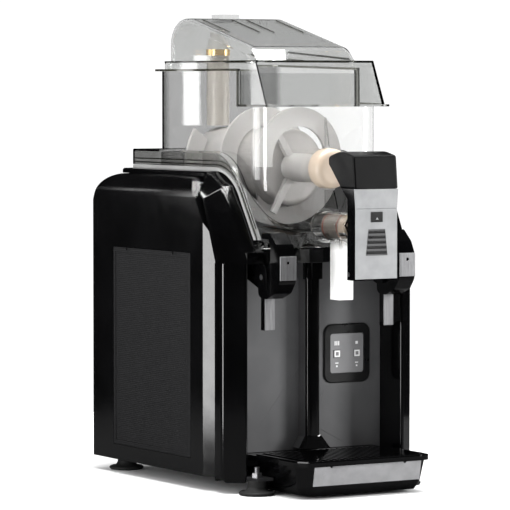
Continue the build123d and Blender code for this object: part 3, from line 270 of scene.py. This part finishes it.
MATS = {
    "gloss": moulded("gloss_black_plastic", *GLOSS_BLACK, 0.09, 0.42, 500.0, 0.015),
    "cheek": moulded("side_cover_plastic", (0.0012, 0.0012, 0.0013), (0.0022, 0.0022, 0.0024),
                     0.14, 0.42, 700.0, 0.03),
    "recess": moulded("satin_grey_plastic", *SATIN_GREY, 0.46, 0.4, 1400.0, 0.12),
    "bezel": moulded("bezel_plastic", (0.006, 0.006, 0.0065), (0.012, 0.012, 0.012),
                     0.30, 0.4, 1200.0, 0.10),
    "screen": mesh_screen("dust_screen"),
    # the bowl's rear wall is painted grey: painted shade standing in for the dim backdrop seen through
    # it
    "bowl": clear_plastic("bowl_polycarbonate", (0.985, 0.99, 0.985), 0.02,
                          (("Y", 0.140, 0.158, (0.36, 0.36, 0.36)),),
                          (0.42, 0.42, 0.41), (("X", 0.1065, 0.1075),)),
    # the lid's grey base colour is painted shade, standing in for the dim backdrop seen through it
    "lid": clear_plastic("lid_polycarbonate", (0.70, 0.705, 0.70), 0.03, (),
                         (0.07, 0.07, 0.055), (("X", 0.0992, 0.1002), ("Y", 0.1700, 0.1710))),
    "tap": frosted_spout(clear_plastic("tap_polycarbonate", (0.95, 0.95, 0.94), 0.02)),
    "bead": clear_plastic("bead_polycarbonate", (0.10, 0.10, 0.08), 0.05),
    "white": moulded("white_polypropylene", (0.47, 0.455, 0.44), (0.56, 0.545, 0.53),
                     0.38, 0.45, 900.0, 0.08),
    "ivory": moulded("ivory_acetal", (0.40, 0.32, 0.25), (0.47, 0.39, 0.31), 0.34, 0.45, 900.0, 0.06),
    "silver": moulded("silver_paint", (0.25, 0.255, 0.26), (0.30, 0.305, 0.31),
                      0.34, 0.5, 2600.0, 0.10, 40.0),
    "tray_silver": moulded("tray_plate_paint", (0.17, 0.17, 0.175), (0.215, 0.215, 0.22),
                           0.40, 0.45, 2600.0, 0.10, 40.0),
    "brushed": brushed("brushed_grey", (0.13, 0.13, 0.135), (0.30, 0.30, 0.305),
                       0.42, (900.0, 900.0, 25.0), 0.6),
    "steel": brushed("brushed_steel", (0.30, 0.30, 0.31), (0.46, 0.46, 0.47),
                     0.32, (700.0, 40.0, 700.0)),
    "drum": brushed("satin_drum", (0.40, 0.385, 0.37), (0.52, 0.50, 0.485),
                    0.55, (500.0, 30.0, 500.0), 0.35),
    "rod": moulded("rod_acetal", (0.16, 0.145, 0.13), (0.22, 0.20, 0.18), 0.30, 0.45, 900.0, 0.06),
    "zinc": brushed("zinc_sheet", (0.40, 0.41, 0.42), (0.58, 0.59, 0.60), 0.38, (60.0, 60.0, 60.0)),
    "rubber": moulded("black_rubber", (0.010, 0.010, 0.010), (0.018, 0.018, 0.018),
                      0.62, 0.3, 1100.0, 0.25),
    "seal": moulded("grey_silicone", (0.28, 0.28, 0.275), (0.36, 0.36, 0.355), 0.45, 0.4, 800.0, 0.10),
    "tube": moulded("tube_acetal", (0.36, 0.33, 0.29), (0.44, 0.41, 0.365), 0.30, 0.45, 900.0, 0.05),
    "cap": moulded("lever_cap_plastic", (0.0010, 0.0010, 0.0011), (0.0018, 0.0018, 0.002),
                   0.38, 0.12, 900.0, 0.06),
    "fin": clear_plastic("fin_polycarbonate", (0.80, 0.80, 0.79), 0.02),
    "red": moulded("red_rubber", (0.20, 0.045, 0.025), (0.28, 0.07, 0.04), 0.40, 0.4, 900.0, 0.10),
    "brass": brushed("brass", (0.60, 0.40, 0.18), (0.80, 0.58, 0.28), 0.20, (40.0, 40.0, 900.0)),
    "copper": brushed("copper", (0.55, 0.27, 0.16), (0.75, 0.40, 0.26), 0.28, (60.0, 60.0, 60.0)),
    "foam": moulded("cradle_foam", (0.05, 0.05, 0.052), (0.07, 0.07, 0.072), 0.8, 0.2, 700.0, 0.4),
    "keypad": moulded("keypad_film", (0.19, 0.19, 0.195), (0.22, 0.22, 0.225),
                      0.36, 0.45, 2000.0, 0.06),
    "icon": moulded("icon_white", (0.80, 0.80, 0.80), (0.86, 0.86, 0.86), 0.40, 0.4, 2000.0, 0.02),
    "board": moulded("circuit_board", (0.02, 0.12, 0.05), (0.03, 0.18, 0.07), 0.35, 0.5, 300.0, 0.15),
    "machine": moulded("machine_enamel", (0.012, 0.012, 0.013), (0.022, 0.022, 0.023),
                       0.32, 0.5, 240.0, 0.12),
    "field": moulded("grip_field_plastic", (0.07, 0.07, 0.072), (0.10, 0.10, 0.102),
                     0.40, 0.4, 1200.0, 0.10),
    "column": column_plastic("column_plastic"),
    "floor": dim_in_reflections(
        moulded("floor_paper", (0.86, 0.86, 0.86), (0.89, 0.89, 0.89), 0.9, 0.1, 300.0, 0.02, 1.5),
        FLOOR_DIMMING),
}

PAINT = {
    "column": ["drain_column"],
    "gloss": ["front_frame", "top_cover", "clamp_brackets", "lever_stem", "left_clamp",
              "right_clamp", "drip_tray", "drip_grille"],
    "cheek": ["left_side_panel", "right_side_panel"],
    "screen": ["left_vent_cover", "right_vent_cover"],
    "recess": ["recess_panel"],
    "bezel": ["control_bezel", "lever_trim", "fan_blade"],
    "bowl": ["bowl"],
    "lid": ["lid"],
    "tap": ["tap_body"],
    "white": ["auger", "light_cap"],
    "rod": ["tap_piston"],
    "drum": ["evaporator_drum"],
    "ivory": ["nose_cap", "piston_nose"],
    "tube": ["light_tube"],
    "cap": ["lever_cap"],
    "silver": ["lever_plate"],
    "tray_silver": ["tray_plate"],
    "brushed": ["left_clamp_trim", "right_clamp_trim"],
    "steel": ["drive_shaft", "pivot_pins", "foot_studs", "panel_screws"],
    "zinc": ["motor_bracket", "condenser", "fan_shroud"],
    "rubber": ["foot_front_left", "foot_front_right", "foot_rear_left", "foot_rear_right",
               "neck_seal", "cord_gland", "compressor_mounts"],
    "seal": ["bowl_gasket"],
    "red": ["piston_rings"],
    "brass": ["light_collar"],
    "copper": ["refrigerant_pipe"],
    "foam": ["bowl_cradle"],
    "keypad": ["keypad_plate", "key_left", "key_right"],
    "board": ["control_board"],
    "machine": ["base_pan", "rear_panel", "gear_motor", "compressor", "fan_motor"],
}
for key, names in PAINT.items():
    for name in names:
        data = nodes[name].data
        data.materials.clear()
        data.materials.append(MATS[key])


WELD_WITHIN = 0.00002
BEVEL_STEPS = 3
SHARP_ANGLE = math.radians(32)
NORMAL_WEIGHT = 60


def soften(name, width):
    """Rounds a CAD node's sharp edges with modifiers only."""
    obj = nodes[name]
    weld = obj.modifiers.new("weld", "WELD")
    weld.merge_threshold = WELD_WITHIN
    bevel = obj.modifiers.new("bevel", "BEVEL")
    bevel.width = width
    bevel.segments = BEVEL_STEPS
    bevel.limit_method = "ANGLE"
    bevel.angle_limit = SHARP_ANGLE
    bevel.use_clamp_overlap = True
    bevel.miter_outer = "MITER_ARC"
    normal = obj.modifiers.new("normals", "WEIGHTED_NORMAL")
    normal.weight = NORMAL_WEIGHT


SOFT = {
    0.0030: ["left_clamp", "right_clamp"],
    0.0020: ["lever_cap"],
    0.0015: ["front_frame"],
    0.0012: ["lever_stem", "clamp_brackets", "drip_tray", "top_cover", "drain_column"],
    0.0006: ["lever_plate", "tray_plate", "left_clamp_trim", "right_clamp_trim", "drip_grille",
             "lever_trim", "control_bezel", "recess_panel"],
}
for width, names in SOFT.items():
    for name in names:
        soften(name, width)


def mesh_object(name, material, body, build):
    """A new mesh piece made by build(bm), with its material, riding on a body."""
    bm = bmesh.new()
    build(bm)
    data = bpy.data.meshes.new(name)
    bm.normal_update()
    bm.to_mesh(data)
    bm.free()
    obj = bpy.data.objects.new(name, data)
    scene.collection.objects.link(obj)
    data.materials.append(MATS[material])
    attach(obj, body)
    return obj


def box_into(bm, lo, hi):
    """Adds an axis-aligned box, corners in millimetres."""
    corners = [bm.verts.new((x * MM, y * MM, z * MM))
               for x in (lo[0], hi[0]) for y in (lo[1], hi[1]) for z in (lo[2], hi[2])]
    for face in ((0, 1, 3, 2), (4, 6, 7, 5), (0, 4, 5, 1), (2, 3, 7, 6), (0, 2, 6, 4), (1, 5, 7, 3)):
        bm.faces.new([corners[i] for i in face])


def prism_into(bm, near, far):
    """Joins two matching loops of points, in millimetres, into a closed prism."""
    near = [bm.verts.new((x * MM, y * MM, z * MM)) for x, y, z in near]
    far = [bm.verts.new((x * MM, y * MM, z * MM)) for x, y, z in far]
    bm.faces.new(near)
    bm.faces.new(far[::-1])
    for i in range(len(near)):
        j = (i + 1) % len(near)
        bm.faces.new((near[j], near[i], far[i], far[j]))
    bmesh.ops.recalc_face_normals(bm, faces=bm.faces)


# ---------------------------------------------------------------- icons on the touch plate
MARK_PROUD = 0.12               # millimetres from here on
MARK_THICK = 0.2
BAR_STEP = 3.0
BAR_HALF = 0.9
BAR_FROM, BAR_TO = 12, 18       # heights from the key's middle
DOT_HALF = 2.0
DOT_FROM, DOT_TO = 13, 17
DASH_HALF = 2.6
DASH_FROM, DASH_TO = -14, -12.6
FOOT_HALF = 1.2
FOOT_FROM, FOOT_TO = -19, -16.6
RING_INSET = 1
RING_WIDTH = 2
face_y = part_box("keypad_plate")[0].y / MM - MARK_PROUD
key_boxes = {name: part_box(name) for name in ("key_left", "key_right")}


def mark_into(bm, x, z, half, low, high):
    box_into(bm, (x - half, face_y, z + low), (x + half, face_y + MARK_THICK, z + high))


def icon_bars(bm):
    """Generic marks: bars over the left key, a square over the right, a dash and a dot below both."""
    for name in key_boxes:
        lo, hi = key_boxes[name]
        x = (lo.x + hi.x) / 2 / MM
        z = (lo.z + hi.z) / 2 / MM
        if name == "key_left":
            for step in (-1, 0, 1):
                mark_into(bm, x + BAR_STEP * step, z, BAR_HALF, BAR_FROM, BAR_TO)
        else:
            mark_into(bm, x, z, DOT_HALF, DOT_FROM, DOT_TO)
        mark_into(bm, x, z, DASH_HALF, DASH_FROM, DASH_TO)
        mark_into(bm, x, z, FOOT_HALF, FOOT_FROM, FOOT_TO)


icons = mesh_object("touch_plate_marks", "icon", "body", icon_bars)


def key_ring(name):
    """White square ring on a key."""
    lo, hi = key_boxes[name]
    x0, x1 = lo.x / MM + RING_INSET, hi.x / MM - RING_INSET
    z0, z1 = lo.z / MM + RING_INSET, hi.z / MM - RING_INSET
    y = lo.y / MM - MARK_PROUD

    def build(bm):
        for a, b in (((x0, z0), (x1, z0 + RING_WIDTH)), ((x0, z1 - RING_WIDTH), (x1, z1)),
                     ((x0, z0 + RING_WIDTH), (x0 + RING_WIDTH, z1 - RING_WIDTH)),
                     ((x1 - RING_WIDTH, z0 + RING_WIDTH), (x1, z1 - RING_WIDTH))):
            box_into(bm, (a[0], y, a[1]), (b[0], y + MARK_THICK, b[1]))

    return build


for name in key_boxes:
    ring = mesh_object(name + "_ring", "icon", name, key_ring(name))


# ---------------------------------------------------------------- beads and fins of the clear parts
BEAD_SIDES = 8
ARC_STEPS = 6
OFF_AXIS = Vector((0.3, 0.2, 0.9)).normalized()     # no bead runs along this direction


def tube_into(bm, points, radius, closed=False):
    """Sweeps a round bead along points given in millimetres."""
    path = [Vector(p) * MM for p in points]
    count = len(path)
    rings = []
    for i, point in enumerate(path):
        before = path[i - 1] if i or closed else point
        after = path[(i + 1) % count] if i + 1 < count or closed else point
        along = (after - before).normalized()
        side = along.cross(OFF_AXIS)
        if side.length < 0.05:
            side = along.cross(Vector((1, 0, 0)))
        side.normalize()
        top = side.cross(along).normalized()
        rings.append([bm.verts.new(point + (side * math.cos(a) + top * math.sin(a)) * radius * MM)
                      for a in (2 * math.pi * k / BEAD_SIDES for k in range(BEAD_SIDES))])
    for i in range(count if closed else count - 1):
        first, second = rings[i], rings[(i + 1) % count]
        for k in range(BEAD_SIDES):
            j = (k + 1) % BEAD_SIDES
            bm.faces.new((first[k], first[j], second[j], second[k]))
    if not closed:
        bm.faces.new(rings[0][::-1])
        bm.faces.new(rings[-1])
    bmesh.ops.recalc_face_normals(bm, faces=bm.faces)


def corner(centre, radius, start, end, z):
    """Points on an arc in plan, angles in degrees."""
    turns = [math.radians(start + (end - start) * i / ARC_STEPS) for i in range(ARC_STEPS + 1)]
    return [(centre[0] + radius * math.cos(a), centre[1] + radius * math.sin(a), z) for a in turns]


LID_HALF = 97.6
LID_REAR = 168.1
LID_FRONT = -99.5
LID_ROUND = 24.0
SHOULDER_Z = 597.4
SHOULDER_RADIUS = 1.2
LID_RIB_PLACES = (-62, -12, 12, 62)
LID_RIB_LINE = ((104, 657.9), (66, 648.6), (28, 639.3))     # (y, z) down the sloping top
LID_RIB_RADIUS = 0.9


def lid_shoulder(bm):
    """Bead round the lid's shoulder."""
    inner = LID_HALF - LID_ROUND
    loop = [(-LID_HALF, LID_FRONT, SHOULDER_Z), (LID_HALF, LID_FRONT, SHOULDER_Z)]
    loop += corner((inner, LID_REAR - LID_ROUND), LID_ROUND, 0, 90, SHOULDER_Z)
    loop += corner((-inner, LID_REAR - LID_ROUND), LID_ROUND, 90, 180, SHOULDER_Z)
    tube_into(bm, loop, SHOULDER_RADIUS, closed=True)


def lid_ribs(bm):
    """Four low ribs moulded on the sloping top of the lid."""
    for x in LID_RIB_PLACES:
        tube_into(bm, [(x, y, z) for y, z in LID_RIB_LINE], LID_RIB_RADIUS)


for name, build in (("lid_shoulder_bead", lid_shoulder), ("lid_top_ribs", lid_ribs)):
    bead = mesh_object(name, "bead", "lid", build)


FIN_HALF = 0.8
FIN_OUTLINES = (
    ((-127.4, 519), (-129.5, 518), (-138, 478), (-127.4, 478)),
    ((-127.4, 418), (-150, 418), (-156, 404), (-160, 392.5), (-127.4, 392.5)),
)


def bowl_fin(bm):
    """Stiffening fin on the bowl's front wall, above and below the auger's front bearing."""
    for outline in FIN_OUTLINES:
        prism_into(bm, [(-FIN_HALF, y, z) for y, z in outline], [(FIN_HALF, y, z) for y, z in outline])


fin = mesh_object("bowl_fin", "fin", "body", bowl_fin)

SLOPE = math.radians(33.7)
DECK_TOP = 443.0
DECK_CORNER = -54.0             # y where the deck's top and its slope would meet
DECK_STEPS = 10
SKIRT_HALF = 110.2
SKIRT_REAR = 222
SKIRT_ROUND = 80
SKIRT_LINES = ((9.0, 352, 1.1), (14.5, 366, 0.8))       # offset from the deck, lowest z, bead radius


def deck_line(offset, low):
    """Side view of a line at an offset from the deck: the top, the rounded corner, the slope."""
    top = DECK_TOP + offset
    corner_y = DECK_CORNER - offset * (1 - math.sin(SLOPE)) / math.cos(SLOPE)
    turn = math.pi / 2 - SLOPE
    centre = (corner_y + SKIRT_ROUND * math.tan(turn / 2), top - SKIRT_ROUND)
    angles = [turn * i / DECK_STEPS for i in range(DECK_STEPS + 1)]
    arc = [(centre[0] - SKIRT_ROUND * math.sin(a), centre[1] + SKIRT_ROUND * math.cos(a))
           for a in angles]
    return [(SKIRT_REAR, top)] + arc + [(corner_y - (top - low) * math.tan(SLOPE), low)]


def skirt_beads(bm):
    """Beads along both edges of the bowl's skirt."""
    for side in (-1, 1):
        for offset, low, size in SKIRT_LINES:
            tube_into(bm, [(side * SKIRT_HALF, y, z) for y, z in deck_line(offset, low)], size)


skirt = mesh_object("skirt_beads", "bead", "body", skirt_beads)


# ---------------------------------------------------------------- lever plate's grip field
LEVER_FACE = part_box("lever_plate")[0].y / MM
BADGE_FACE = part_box("lever_trim")[0].y / MM
FIELD_OUTLINE = ((-17.5, 332.0), (17.5, 332.0), (13.5, 368.0), (-13.5, 368.0))      # (x, z)
FIELD_DEPTHS = (-0.35, 0.2)     # y of its two faces, from the lever's plate
GRIP_BARS = 5
GRIP_WIDTH, GRIP_TAPER = 32.0, 1.5
GRIP_BOTTOM, GRIP_STEP = 336.0, 7.0
GRIP_SIDE, GRIP_HALF = 0.2, 1.9
GRIP_DEPTHS = (-0.9, 0.1)
BADGE_OUTLINE = ((-2.2, 381.0), (2.2, 381.0), (0.0, 384.2))
BADGE_DEPTHS = (-0.02, 0.6)


def upright_into(bm, outline, face, depths):
    """A thin plate that faces the front: outline of (x, z), and the depths of its two faces."""
    near, far = ([(x, face + depth, z) for x, z in outline] for depth in depths)
    prism_into(bm, near, far)


def grip_field(bm):
    """Dark trapezoid behind the ribs."""
    upright_into(bm, FIELD_OUTLINE, LEVER_FACE, FIELD_DEPTHS)


def grip_bars(bm):
    """The ribs' wider feet, so each reads as a thick bar."""
    for i in range(GRIP_BARS):
        half = (GRIP_WIDTH - GRIP_TAPER * i) / 2 + GRIP_SIDE
        z = GRIP_BOTTOM + GRIP_STEP * i
        box_into(bm, (-half, LEVER_FACE + GRIP_DEPTHS[0], z - GRIP_HALF),
                 (half, LEVER_FACE + GRIP_DEPTHS[1], z + GRIP_HALF))


bars = mesh_object("lever_grip_bars", "bezel", "lever", grip_bars)
field = mesh_object("lever_grip_field", "field", "lever", grip_field)


def badge_dot(bm):
    """Small light triangle low on the plain badge."""
    upright_into(bm, BADGE_OUTLINE, BADGE_FACE, BADGE_DEPTHS)


dot = mesh_object("badge_mark", "silver", "lever", badge_dot)

# ---------------------------------------------------------------- floor, light, camera
FLOOR_HALF = 1.0                # metres from here on
FLOOR_Z = -0.0005

floor_data = bpy.data.meshes.new("floor")
floor_corners = [(x * FLOOR_HALF, y * FLOOR_HALF, 0) for x, y in ((-1, -1), (1, -1), (1, 1), (-1, 1))]
floor_data.from_pydata(floor_corners, [], [(0, 1, 2, 3)])
floor_data.materials.append(MATS["floor"])
floor = bpy.data.objects.new("floor", floor_data)
floor.location = (0, 0, FLOOR_Z)
scene.collection.objects.link(floor)

BACKDROP = 1.08                 # what the camera sees, directly and through clear parts
AMBIENT = 0.55
GLOSSY = 0.008
world = bpy.data.worlds.new("studio")
scene.world = world
world.use_nodes = True
tree = world.node_tree
tree.nodes.clear()
path = tree.nodes.new("ShaderNodeLightPath")


def world_mix(factor, first, second):
    node = tree.nodes.new("ShaderNodeMixShader")
    tree.links.new(factor, node.inputs[0])
    tree.links.new(first.outputs[0], node.inputs[1])
    tree.links.new(second.outputs[0], node.inputs[2])
    return node


def backdrop(level):
    node = tree.nodes.new("ShaderNodeBackground")
    node.inputs["Color"].default_value = (1.0, 1.0, 1.0, 1.0)
    node.inputs["Strength"].default_value = level
    return node


seen = tree.nodes.new("ShaderNodeMath")
seen.operation = "MAXIMUM"
tree.links.new(path.outputs["Is Camera Ray"], seen.inputs[0])
tree.links.new(path.outputs["Is Transmission Ray"], seen.inputs[1])
unseen = world_mix(path.outputs["Is Glossy Ray"], backdrop(AMBIENT), backdrop(GLOSSY))
final = world_mix(seen.outputs[0], unseen, backdrop(BACKDROP))
end = tree.nodes.new("ShaderNodeOutputWorld")
tree.links.new(final.outputs[0], end.inputs["Surface"])


def softbox(name, location, target, size_x, size_y, power):
    """An area light: its place and what it faces, in metres, its width, height and watts."""
    data = bpy.data.lights.new(name, "AREA")
    data.shape = "RECTANGLE"
    data.size = size_x
    data.size_y = size_y
    data.energy = power
    obj = bpy.data.objects.new(name, data)
    obj.location = location
    obj.rotation_euler = (Vector(target) - Vector(location)).to_track_quat("-Z", "Y").to_euler()
    scene.collection.objects.link(obj)


softbox("left_box", (-2.35, -0.56, 0.30), (-0.15, -0.08, 0.25), 0.62, 1.50, 42)
softbox("top_box", (0.0, -0.20, 2.1), (0, -0.15, 0.3), 1.8, 0.85, 95)
softbox("front_box", (2.1, -1.75, 0.9), (0, 0, 0.3), 0.7, 1.3, 72)
softbox("rear_line", (1.0, 2.15, 0.96), (-0.14, 0.1, 0.43), 1.2, 0.12, 0.14)
softbox("rear_strip", (-0.76, 0.44, 0.54), (-0.096, -0.10, 0.54), 0.62, 0.30, 2.2)
softbox("window", (-0.564, 0.883, 0.555), (-0.096, 0.114, 0.60), 0.028, 0.12, 0.045)

CAMERA_AT = (-2.5036, -4.0565, 0.5642)
CAMERA_TO = (-0.0145, 0.0369, 0.3202)
SENSOR = 36.0                   # millimetres
LENS = 235.7
camera_data = bpy.data.cameras.new("camera")
camera_data.sensor_width = SENSOR
camera_data.lens = LENS
camera_data.clip_start = 0.05
camera_data.clip_end = 60.0
camera = bpy.data.objects.new("camera", camera_data)
camera.location = CAMERA_AT
camera.rotation_euler = (Vector(CAMERA_TO) - Vector(CAMERA_AT)).to_track_quat("-Z", "Y").to_euler()
scene.collection.objects.link(camera)
scene.camera = camera

scene.view_settings.view_transform = "Standard"
scene.view_settings.look = "None"
